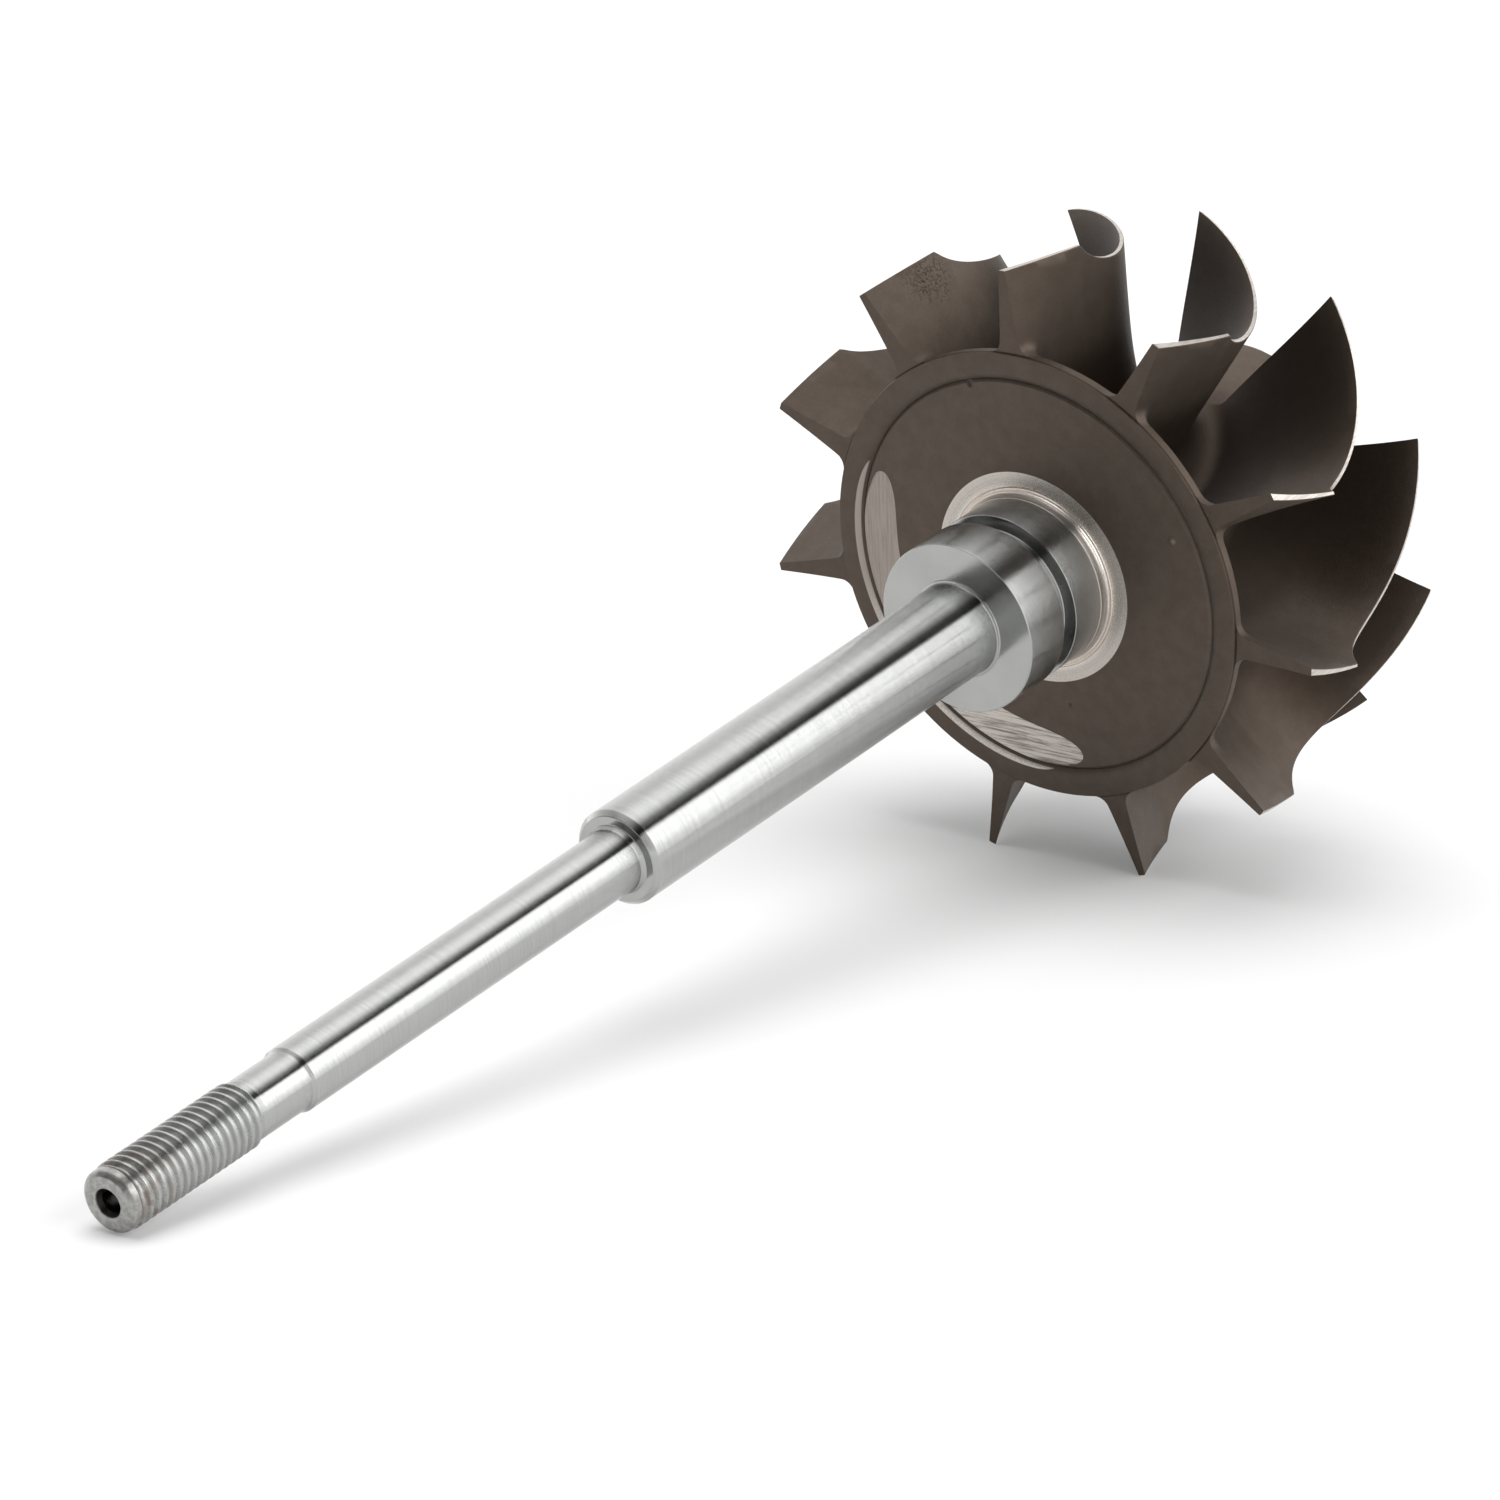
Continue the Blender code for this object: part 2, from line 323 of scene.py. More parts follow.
def radial_way(sheet, x, y, radius):
    """Unit direction from the axis to the point, in the object's coordinates."""
    parts = []
    for value, way in ((x, BLADE_ONE_WAY), (y, SIDE_WAY)):
        parts.append(sheet.node("ShaderNodeVectorMath", {"operation": "SCALE"},
                                {0: tuple(way), "Scale": value / radius}))
    return sheet.node("ShaderNodeVectorMath", {"operation": "ADD"}, parts)


def near_spot(sheet, place, turn, r, s, size):
    """Mask that is 1 at a spot given by angle in degrees, radius and s, and 0 past its size."""
    centre = polar(math.radians(turn), s, r)
    away = sheet.node("ShaderNodeVectorMath", {"operation": "DISTANCE"}, [place, centre], 1)
    return away.ramp(size, 0.0)


def casting_material():
    """Blasted nickel alloy: grain, mottling, painted shade deep in and along the rim's crease, bright
    ground edges.
    """
    material, sheet, shader = new_material("blasted_casting")
    x, y, along = rotor_place(sheet)
    place = vector(sheet, x, y, along)
    grain = sheet.noise(place, 7.0, 4.0, 0.7)
    radius = radius_of(x, y)
    # painted shade: the deep passages and the front of the disc near the hub are darkened towards a warm
    # brown
    outer = along.ramp(22.5, 29.5) * radius.ramp(29.0, 23.0) * along.ramp(42.0, 36.5)
    inner = radius.ramp(21.5, 17.5) * along.ramp(13.4, 15.0) * along.ramp(40.0, 35.0)
    tone = sheet.mix(outer.math("MAXIMUM", inner) * 0.66, casting_tone(sheet, place), PAINTED_SHADE_BROWN)
    # painted shadow: a dark line where the back disc's rim steps down at the blades' feet
    crease_painted_shadow = (radius - RIM_R - 0.02).math("ABSOLUTE").ramp(0.11, 0.03) * along.ramp(12.5, 12.4)
    tone = sheet.mix(crease_painted_shadow * 0.8, tone, PAINTED_SHADE_BROWN)
    ground = named_mask(sheet, "ground").math("MAXIMUM", ground_strip(sheet, x, y, along))
    streak = sheet.noise(vector(sheet, x * 6.0, y * 6.0, along * 0.4), 1.0, 3.0)
    bright = sheet.mix(streak.ramp(0.3, 0.7), GROUND_METAL, MACHINED_METAL)
    upper = grind_angle(sheet, x, y).ramp(5.0, 30.0) * along.ramp(12.6, 12.4)
    bright = sheet.mix(upper, bright, GROUND_DULL)
    colour = sheet.mix(ground, tone, bright)
    rough_corner = near_spot(sheet, place, 331.5, 28.6, 18.5, 3.6)
    crumbs = sheet.noise(place, 3.4, 2.0, 0.5).ramp(0.5, 0.62)
    height = sheet.bump(crumbs * rough_corner, 0.8, 0.0001, sheet.bump(grain, 0.35, 0.00005))
    connect(sheet, shader, Base_Color=colour, Metallic=0.85,
            Roughness=grain.ramp(0.3, 0.7, 0.5, 0.62) - ground * 0.2, Normal=height)
    return material


def back_material():
    """Back face: turned casting, and the bright machined ring with the pad's polished foot, its colour
    raised as a painted highlight.
    """
    material, sheet, shader = new_material("turned_back_face")
    x, y, along = rotor_place(sheet)
    place = vector(sheet, x, y, along)
    radius = radius_of(x, y)
    grain = sheet.noise(place, 7.0, 4.0, 0.7)
    rings = sheet.noise(vector(sheet, radius * 3.0, along * 0.1, 0.0), 1.0, 4.0, 0.7)
    machined = radius.ramp(MACHINED_R + 0.04, MACHINED_R - 0.04)
    bright = sheet.mix(rings.ramp(0.3, 0.7), GROUND_METAL, MACHINED_METAL)
    colour = sheet.mix(machined, casting_tone(sheet, place), bright)
    outside_foot = radius.ramp(PAD_FOOT_R, PAD_FOOT_R + 0.15)
    foot = (1.0 - outside_foot) * radius.ramp(PAD_R + 0.02, PAD_R + 0.1)
    # painted highlight: the polished foot takes a lighter metal colour than the machined ring, so its
    # arcs read bright
    colour = sheet.mix(foot, colour, FOOT_METAL_HIGHLIGHT)
    spread = outside_foot * DISC_SPREAD
    turned = spread_normal(sheet, radial_way(sheet, x, y, radius), spread, radius * 91.0)
    nub = near_spot(sheet, place, 68.5, 17.16, LAND_S, 0.5)
    pits = near_spot(sheet, place, 168.3, 12.9, LAND_S, 0.45)
    pits = pits + near_spot(sheet, place, 344.8, 19.1, LAND_S, 0.5)
    colour = sheet.mix(nub * 0.3, sheet.mix(pits, colour, CAST_PIT), MACHINED_METAL)
    relief = sheet.bump(rings, 0.2, 0.00006, sheet.bump(grain, 0.25, 0.00005, turned))
    relief = sheet.bump(nub - pits, 1.0, 0.0002, relief)
    rough = grain.ramp(0.3, 0.7, 0.48, 0.58) - machined * 0.24 - (1.0 - outside_foot) * 0.2
    connect(sheet, shader, Base_Color=colour, Metallic=0.85, Roughness=rough, Normal=relief)
    return material


def straight_strokes(sheet, x, y, turn):
    """Straight grinding marks square to the direction at the given angle in degrees."""
    way = math.radians(turn)
    across = x * math.cos(way) + y * math.sin(way)
    lengthwise = y * math.cos(way) - x * math.sin(way)
    return sheet.noise(vector(sheet, across * 3.4, lengthwise * 0.16, turn), 1.3, 4.0, 0.7)


def crescent_material():
    """Floor of the balance grinding: bright metal with straight marks, lighter at one end."""
    material, sheet, shader = new_material("ground_crescent")
    x, y, along = rotor_place(sheet)
    upper = grind_angle(sheet, x, y).ramp(-4.0, 6.0)
    first = straight_strokes(sheet, x, y, GRIND_ANGLE + 42.0)
    second = straight_strokes(sheet, x, y, GRIND_ANGLE - 52.0)
    strokes = first * upper + second * (1.0 - upper)
    light = sheet.mix(upper, GROUND_METAL, GROUND_DULL)
    colour = sheet.mix(strokes.ramp(0.34, 0.6), GROUND_WORN, light)
    relief = sheet.bump(strokes, 0.5, 0.00006)
    connect(sheet, shader, Base_Color=colour, Metallic=1.0,
            Roughness=strokes.ramp(0.3, 0.7, 0.34, 0.46), Normal=relief)
    return material


def steel_parts(sheet):
    """Place on the axis, marks, colour and spread normal shared by all of the shaft."""
    x, y, along = rotor_place(sheet)
    marks = sheet.noise(vector(sheet, along * 5.0, x * 0.12, y * 0.12), 1.0, 4.0, 0.7)
    colour = sheet.mix(marks.ramp(0.3, 0.7), STEEL_DULL, STEEL)
    normal = spread_normal(sheet, tuple(AXIS), STEEL_SPREAD, along * 173.0)
    return (x, y, along), marks, colour, normal


def steel_material():
    """Ground shaft steel: marks round it too fine to see spread each reflection lengthwise."""
    material, sheet, shader = new_material("ground_shaft_steel")
    (x, y, along), marks, colour, normal = steel_parts(sheet)
    place = vector(sheet, x, y, along)
    boss = along.ramp(-0.3, 0.2)
    end = along.ramp(THREAD_END_S + 1.6, THREAD_END_S + 0.6)
    blotch = sheet.noise(place, 1.6, 3.0, 0.6)
    colour = sheet.mix(end * blotch.ramp(0.4, 0.6, 0.2, 0.8), colour, END_GREY)
    # painted shade with some dirt: the cone round the centre hole is darkened so the dark hole reads
    # wider than its drilled size
    inside = radius_of(x, y).ramp(CENTRE_CONE_R + 0.05, CENTRE_CONE_R - 0.1) * end
    colour = sheet.mix(inside, colour, HOLE_SHADE_AND_DIRT)
    rough = marks.ramp(0.3, 0.7, 0.1, 0.14) + boss * 0.05 + end * 0.2
    height = sheet.bump(blotch * end, 0.5, 0.0001, normal)
    connect(sheet, shader, Base_Color=colour, Metallic=1.0, Roughness=rough, Normal=height)
    return material


def thread_material():
    """Rolled thread: duller than the ground shaft, browned in the roots towards its end."""
    material, sheet, shader = new_material("rolled_thread_steel")
    (x, y, along), marks, colour, normal = steel_parts(sheet)
    blotch = sheet.noise(vector(sheet, x, y, along), 0.9, 3.0, 0.6)
    brown = along.ramp(THREAD_END_S + 8.0, THREAD_END_S + 1.0) * blotch.ramp(0.42, 0.6)
    colour = sheet.mix(brown * 0.75, colour, THREAD_BROWN)
    connect(sheet, shader, Base_Color=colour, Metallic=1.0,
            Roughness=blotch.ramp(0.3, 0.7, 0.24, 0.36), Normal=normal)
    return material


def bezier(points, t):
    """A point on a cubic curve with four control points."""
    weights = ((1 - t) ** 3, 3 * t * (1 - t) ** 2, 3 * t * t * (1 - t), t ** 3)
    return tuple(sum(w * p[i] for w, p in zip(weights, points)) for i in range(len(points[0])))


def hub_curve(t):
    """Hub line of a passage as (s, r), from the rim of the back disc to the exducer."""
    rim = (RIM_FRONT_S, RIM_R - RIM_ROUND)
    return bezier((rim, (14.6, 12.4), (22.5, 9.2), (HUB_NOSE_S, HUB_NOSE_R)), t)


def shroud_curve(t):
    """Outer edge of a blade as (s, r, angle), from the inducer tip to the exducer tip."""
    return bezier(((TIP_FRONT_S, TIP_R, TIP_FRONT_ANGLE), SHROUD_BEND_ONE, SHROUD_BEND_TWO,
                   (EXDUCER_S, EXDUCER_R, EXDUCER_ANGLE)), t)


def camber_angle(s):
    """Angle of the blade's middle surface in radians at the distance s along the axis."""
    if s <= TIP_FRONT_S:
        t = (s - TIP_BACK_S) / (TIP_FRONT_S - TIP_BACK_S)
        return math.radians(TIP_FRONT_ANGLE * (1.27 * t - 0.27 * t * t))
    low, high = 0.0, 1.0
    for _ in range(30):
        middle = (low + high) / 2
        if shroud_curve(middle)[0] < s:
            low = middle
        else:
            high = middle
    return math.radians(shroud_curve(low)[2])


def spaced(curve, count, samples=400):
    """Points at equal distances along a curve given by a function of t from 0 to 1."""
    points = [curve(i / samples) for i in range(samples + 1)]
    lengths = [0.0]
    for a, b in zip(points, points[1:]):
        lengths.append(lengths[-1] + math.hypot(b[0] - a[0], b[1] - a[1]))
    result = []
    index = 0
    for k in range(count + 1):
        target = lengths[-1] * k / count
        while index < samples - 1 and lengths[index + 1] < target:
            index += 1
        part = (target - lengths[index]) / max(1e-9, lengths[index + 1] - lengths[index])
        a, b = points[index], points[index + 1]
        result.append(tuple(p + (q - p) * part for p, q in zip(a, b)))
    return result


RIM_STATIONS = 3
ROUND_STATIONS = 7
HUB_STATIONS = 44
LEADING_SHARE = 0.55
HUB_END = 0.978


def station_roots():
    """Where each station starts on the disc or hub: (s, r) and the way it leaves it."""
    roots = []
    for i in range(RIM_STATIONS):
        s = RIM_BACK_S + (RIM_FRONT_S - RIM_ROUND - RIM_BACK_S) * i / RIM_STATIONS
        roots.append(((s, RIM_R), (0.0, 1.0)))
    for i in range(ROUND_STATIONS):
        turn = math.pi / 2 * i / ROUND_STATIONS
        way = (math.sin(turn), math.cos(turn))
        roots.append(((RIM_FRONT_S - RIM_ROUND + RIM_ROUND * way[0],
                       RIM_R - RIM_ROUND + RIM_ROUND * way[1]), way))
    line = spaced(lambda t: hub_curve(t * HUB_END), HUB_STATIONS)
    for i, point in enumerate(line):
        before, after = line[max(0, i - 1)], line[min(HUB_STATIONS, i + 1)]
        length = math.hypot(after[0] - before[0], after[1] - before[1])
        way = (-(after[1] - before[1]) / length, (after[0] - before[0]) / length)
        roots.append((point, way))
    return roots


def station_tips():
    """Where each station ends on the leading edge or the shroud edge, as (s, r)."""
    rim_count = RIM_STATIONS + ROUND_STATIONS
    turn_s = TIP_BACK_S + (TIP_FRONT_S - TIP_BACK_S) * LEADING_SHARE
    tips = []
    for i in range(rim_count):
        part = i / rim_count
        s = TIP_BACK_S + (turn_s - TIP_BACK_S) * part ** 1.25
        tips.append((s, TIP_R))
    def outer(t):
        if t < 0.2:
            return (turn_s + (TIP_FRONT_S - turn_s) * t / 0.2, TIP_R)
        return shroud_curve((t - 0.2) / 0.8)[:2]
    return tips + [point[:2] for point in spaced(outer, HUB_STATIONS)]


def station_point(root, way, tip, v):
    """A point on the bent line from the root, square to the hub at first, to the tip."""
    reach = math.hypot(tip[0] - root[0], tip[1] - root[1]) * 0.45
    bend = (root[0] + way[0] * reach, root[1] + way[1] * reach)
    a, b, c = (1 - v) ** 2, 2 * v * (1 - v), v * v
    return tuple(a * root[i] + b * bend[i] + c * tip[i] for i in range(2))


FLOOR_POINTS = 5
FILLET_POINTS = 6
SIDE_POINTS = 14


def blade_half(along, v):
    """Half of the blade's thickness above its fillet."""
    at_tip = HALF_TIP_BACK + (HALF_TIP_FRONT - HALF_TIP_BACK) * min(1.0, along / 0.3)
    at_tip += (HALF_SHROUD - HALF_TIP_FRONT) * min(1.0, max(0.0, along - 0.3) / 0.4)
    at_root = HALF_RIM + (HALF_ROOT - HALF_RIM) * along
    return at_root + (at_tip - at_root) * v ** 0.85


def station_section(along, root, way, tip):
    """One half of a station's outline, from mid passage up to the blade's edge, as (offset
    from the blade's middle angle, s, r) with the mid passage first."""
    length = math.hypot(tip[0] - root[0], tip[1] - root[1])
    fillet = FILLET_RIM + (FILLET_ROOT - FILLET_RIM) * min(1.0, along * 2.5)
    start = (blade_half(along, 0.0) + fillet) / root[1]
    half_pitch = BLADE_STEP / 2
    points = []
    for i in range(FLOOR_POINTS):
        part = i / FLOOR_POINTS
        points.append((half_pitch + (start - half_pitch) * part, root[0], root[1]))
    for i in range(FILLET_POINTS):
        turn = math.pi / 2 * i / FILLET_POINTS
        height = fillet * (1 - math.cos(turn))
        v = height / length
        s, r = station_point(root, way, tip, v)
        width = blade_half(along, v) + fillet * (1 - math.sin(turn))
        points.append((width / r, s, r))
    low = fillet / length
    high = 1 - EDGE_CHAMFER / length
    for i in range(SIDE_POINTS + 1):
        v = low + (high - low) * i / SIDE_POINTS
        s, r = station_point(root, way, tip, v)
        points.append((blade_half(along, v) / r, s, r))
    edge = max(0.02, blade_half(along, 1.0) - EDGE_CHAMFER)
    points.append((edge / tip[1], tip[0], tip[1]))
    return points


def section_angle(along, s, r):
    """Angle of the blade's middle; towards the exducer it takes on that edge's own twist."""
    edge = math.radians(EXDUCER_ANGLE + EXDUCER_TWIST * (EXDUCER_R - r))
    edge_s = EXDUCER_S - EXDUCER_SLOPE * (EXDUCER_R - r)
    return camber_angle(s) + (edge - camber_angle(edge_s)) * along ** 6


def polar(angle, s, r):
    return (r * math.cos(angle), r * math.sin(angle), s)


def sector_outline(along, root, way, tip):
    """A station's whole outline across one sector, from mid passage to mid passage."""
    half = station_section(along, root, way, tip)
    left, right = [], []
    for offset, s, r in half:
        middle = section_angle(along, s, r)
        left.append(polar(middle - offset, s, r))
        right.append(polar(middle + offset, s, r))
    return left + right[::-1]


def ring_angles(outline):
    return [math.atan2(y, x) for x, y, _ in outline]


def bridge(form, first, second):
    for a, b, c, d in zip(first, first[1:], second[1:], second):
        form.faces.new((a, b, c, d))


def cap_blade_end(form, row, half, arc):
    """Fills a blade's end: a ladder between its two sides, then a face down to the arc."""
    for i in range(half - 1, FLOOR_POINTS + 1, -1):
        a, b = row[i], row[2 * half - 1 - i]
        c, d = row[2 * half - i], row[i - 1]
        form.faces.new((a, b, c, d))
    low = FLOOR_POINTS
    form.faces.new([row[low], row[low + 1], row[2 * half - 2 - low], row[2 * half - 1 - low]] + arc[::-1])


def disc_ring(form, row, half, arc, angles, s, r):
    """A ring of points at one radius, bridged to the floor of the outline and the arc."""
    edge = row[:FLOOR_POINTS + 1] + arc + row[2 * half - 1 - FLOOR_POINTS:]
    ring = [form.verts.new(polar(angle, s, r)) for angle in angles]
    bridge(form, edge, ring)
    return ring


def arc_points(form, row, half, s, r, count=4):
    """Points on the circle between the feet of one blade's two fillets."""
    a = row[FLOOR_POINTS].co
    b = row[2 * half - 1 - FLOOR_POINTS].co
    start, end = math.atan2(a.y, a.x), math.atan2(b.y, b.x)
    points = []
    for i in range(1, count + 1):
        angle = start + (end - start) * i / (count + 1)
        points.append(form.verts.new(polar(angle, s, r)))
    return points


def edge_angles(row, half, arc):
    edge = row[:FLOOR_POINTS + 1] + arc + row[2 * half - 1 - FLOOR_POINTS:]
    return [math.atan2(point.co.y, point.co.x) for point in edge]


def back_ring_profile():
    """Outer ring of the back face as (s, r), from its rounded outer edge into the groove."""
    return ((RIM_BACK_S - 0.18, RIM_R - 0.08), (RIM_BACK_S - 0.22, RIM_R - 0.22),
            (RIM_BACK_S - 0.2, LAND_R + 0.95), (RIM_BACK_S - 0.18, LAND_R + 0.72),
            (RIM_BACK_S - 0.12, LAND_R + 0.5), (RIM_BACK_S - 0.03, LAND_R + 0.3),
            (LAND_S + 0.12, LAND_R + 0.16), (LAND_S + 0.2, LAND_R + 0.05),
            (LAND_S + 0.4, LAND_R), (LAND_S + 0.4, 3.0))


def sector_mesh():
    """One eleventh of the casting: a blade, its fillets and its share of disc and hub."""
    form = bmesh.new()
    roots, tips = station_roots(), station_tips()
    last = len(roots) - 1
    rows = []
    for i, ((root, way), tip) in enumerate(zip(roots, tips)):
        outline = sector_outline(i / last, root, way, tip)
        rows.append([form.verts.new(point) for point in outline])
    for first, second in zip(rows, rows[1:]):
        bridge(form, first, second)
    half = len(rows[0]) // 2
    mark_ground(form, rows, half)
    back = rows[0]
    arc = arc_points(form, back, half, RIM_BACK_S, RIM_R)
    cap_blade_end(form, back, half, arc)
    angles = edge_angles(back, half, arc)
    ring = disc_ring(form, back, half, arc, angles, RIM_BACK_S - 0.08, RIM_R - 0.03)
    for s, r in back_ring_profile():
        inner = [form.verts.new(polar(angle, s, r)) for angle in angles]
        bridge(form, ring, inner)
        ring = inner
    centre = form.verts.new((0.0, 0.0, LAND_S + 0.4))
    for a, b in zip(ring, ring[1:]):
        form.faces.new((a, b, centre))
    front = rows[-1]
    root_s, root_r = roots[-1][0]
    arc = arc_points(form, front, half, root_s, root_r)
    cap_blade_end(form, front, half, arc)
    angles = edge_angles(front, half, arc)
    edge = front[:FLOOR_POINTS + 1] + arc + front[2 * half - 1 - FLOOR_POINTS:]
    ring = edge
    nose = [(HUB_NOSE_S + i * 1.5, HUB_NOSE_R) for i in range(7)]
    for i in range(7):
        turn = math.radians(90 * i / 6)
        nose.append((NOSE_SHOULDER_S - NOSE_ROUND + NOSE_ROUND * math.sin(turn),
                     HUB_NOSE_R - NOSE_ROUND + NOSE_ROUND * math.cos(turn)))
    nose.append((NOSE_SHOULDER_S, 3.0))
    for s, r in nose:
        inner = [form.verts.new(polar(angle, s, r)) for angle in angles]
        bridge(form, ring, inner)
        ring = inner
    centre = form.verts.new((0.0, 0.0, NOSE_SHOULDER_S))
    for a, b in zip(ring, ring[1:]):
        form.faces.new((a, b, centre))
    mesh = bpy.data.meshes.new("sector")
    form.to_mesh(mesh)
    form.free()
    return mesh


def mark_ground(form, rows, half):
    """Marks the outer edge faces of the blade, which are ground bright."""
    layer = form.faces.layers.float.new("ground")
    edges = set()
    for row in rows:
        edges.update((row[half - 1], row[half]))
    for face in form.faces:
        if all(corner in edges for corner in face.verts):
            face[layer] = 1.0


def modifier_tree(name, sizes):
    """A Geometry Nodes tree with named inputs; gives the sheet, its inputs and identifiers."""
    tree = bpy.data.node_groups.new(name, "GeometryNodeTree")
    tree.interface.new_socket("Geometry", in_out="INPUT", socket_type="NodeSocketGeometry")
    tree.interface.new_socket("Geometry", in_out="OUTPUT", socket_type="NodeSocketGeometry")
    identifiers = {}
    for label, kind in sizes.items():
        socket = tree.interface.new_socket(label, in_out="INPUT", socket_type=kind)
        identifiers[label] = socket.identifier
    sheet = Sheet(tree)
    entry = tree.nodes.new("NodeGroupInput")
    inputs = {socket.name: Field(sheet, socket) for socket in entry.outputs if socket.name}
    return sheet, inputs, identifiers


def finish_tree(sheet, geometry, material):
    whole = sheet.node("GeometryNodeRealizeInstances", {}, [geometry])
    painted = sheet.node("GeometryNodeSetMaterial", {}, {"Geometry": whole, "Material": material})
    end = sheet.tree.nodes.new("NodeGroupOutput")
    sheet.tree.links.new(painted.socket, end.inputs[0])


def grow(mesh, sheet, identifiers, values):
    """Runs a Geometry Nodes tree on a mesh and gives the plain result."""
    seed = bpy.data.objects.new("seed", mesh)
    bpy.context.scene.collection.objects.link(seed)
    modifier = seed.modifiers.new("Shape", "NODES")
    modifier.node_group = sheet.tree
    for label, value in values.items():
        modifier[identifiers[label]] = value
    depsgraph = bpy.context.evaluated_depsgraph_get()
    result = bpy.data.meshes.new_from_object(seed.evaluated_get(depsgraph))
    bpy.data.objects.remove(seed, do_unlink=True)
    return result


def blade_ring_tree(material):
    """Repeats one sector round the axis and welds the seams."""
    sizes = {"Blades": "NodeSocketInt", "Step": "NodeSocketFloat", "Weld": "NodeSocketFloat"}
    sheet, inputs, identifiers = modifier_tree("blade_ring", sizes)
    points = sheet.node("GeometryNodePoints", {}, {"Count": inputs["Blades"]})
    number = sheet.node("GeometryNodeInputIndex")
    turn = vector(sheet, 0.0, 0.0, number * inputs["Step"])
    ring = sheet.node("GeometryNodeInstanceOnPoints", {},
                      {"Points": points, "Instance": inputs["Geometry"], "Rotation": turn})
    whole = sheet.node("GeometryNodeRealizeInstances", {}, [ring])
    welded = sheet.node("GeometryNodeMergeByDistance", {},
                        {"Geometry": whole, "Distance": inputs["Weld"]})
    finish_tree(sheet, welded, material)
    return sheet, identifiers


def thread_tree(material):
    """Lifts a flat grid round the axis into a thread that fades out at both ends."""
    names = ("Around", "Length", "Start", "Crest radius", "Depth", "Pitch", "Weld")
    sizes = {name: "NodeSocketFloat" for name in names}
    sheet, inputs, identifiers = modifier_tree("thread", sizes)
    grid = sheet.node("GeometryNodeMeshGrid", {}, {
        "Size X": inputs["Around"], "Size Y": inputs["Length"],
        "Vertices X": 97, "Vertices Y": 300})
    place = sheet.node("GeometryNodeInputPosition")
    parts = sheet.node("ShaderNodeSeparateXYZ", {}, [place])
    angle = parts
    along = sheet.output(parts, 1)
    s = along + inputs["Start"]
    phase = along / inputs["Pitch"] - angle / math.tau
    wave = phase.math("FRACT")
    ridge = 1.0 - (wave * 2.0 - 1.0).math("ABSOLUTE")
    form = ridge.ramp(0.12, 0.88)
    half = inputs["Length"] * 0.5
    fade = (half - along.math("ABSOLUTE")).ramp(0.0, 0.5)
    radius = inputs["Crest radius"] - inputs["Depth"] + inputs["Depth"] * form * fade
    radius = radius - (half - along.math("ABSOLUTE")).ramp(0.0, 0.1, 0.3, 0.0)
    lifted = vector(sheet, radius * angle.math("COSINE"), radius * angle.math("SINE"), s)
    moved = sheet.node("GeometryNodeSetPosition", {}, {"Geometry": grid, "Position": lifted})
    welded = sheet.node("GeometryNodeMergeByDistance", {},
                        {"Geometry": moved, "Distance": inputs["Weld"]})
    finish_tree(sheet, welded, material)
    return sheet, identifiers


def finished(name, mesh, smooth_angle=35.0):
    """Puts a mesh made on the rotor's axis in its place, facing out and smooth."""
    mesh.transform(PLACE)
    form = bmesh.new()
    form.from_mesh(mesh)
    bmesh.ops.recalc_face_normals(form, faces=form.faces)
    form.to_mesh(mesh)
    form.free()
    mesh.shade_smooth()
    mesh.set_sharp_from_angle(angle=math.radians(smooth_angle))
    item = bpy.data.objects.new(name, mesh)
    bpy.context.scene.collection.objects.link(item)
    return item


def lathe(profile, segments):
    """A turned mesh from (r, s) points; ends at radius 0 become poles."""
    form = bmesh.new()
    rows = []
    for r, s in profile:
        if r < 1e-6:
            rows.append([form.verts.new((0.0, 0.0, s))] * segments)
        else:
            rows.append([form.verts.new(polar(math.tau * k / segments, s, r))
                         for k in range(segments)])
    for first, second in zip(rows, rows[1:]):
        for k in range(segments):
            corners = []
            for point in (first[k], first[(k + 1) % segments],
                          second[(k + 1) % segments], second[k]):
                if point not in corners:
                    corners.append(point)
            form.faces.new(corners)
    mesh = bpy.data.meshes.new("turned")
    form.to_mesh(mesh)
    form.free()
    return mesh


def rounded(points, steps=5):
    """Rounds the corners of an outline of (r, s, radius of the corner)."""
    result = []
    for i, (r, s, size) in enumerate(points):
        if size == 0 or i in (0, len(points) - 1):
            result.append((r, s))
            continue
        here = Vector((r, s))
        before = Vector(points[i - 1][:2]) - here
        after = Vector(points[i + 1][:2]) - here
        angle = before.angle(after)
        reach = min(size / math.tan(angle / 2), before.length * 0.49, after.length * 0.49)
        start = here + before.normalized() * reach
        end = here + after.normalized() * reach
        for k in range(steps + 1):
            t = k / steps
            point = start * (1 - t) ** 2 + here * 2 * t * (1 - t) + end * t * t
            result.append((point.x, point.y))
    return result


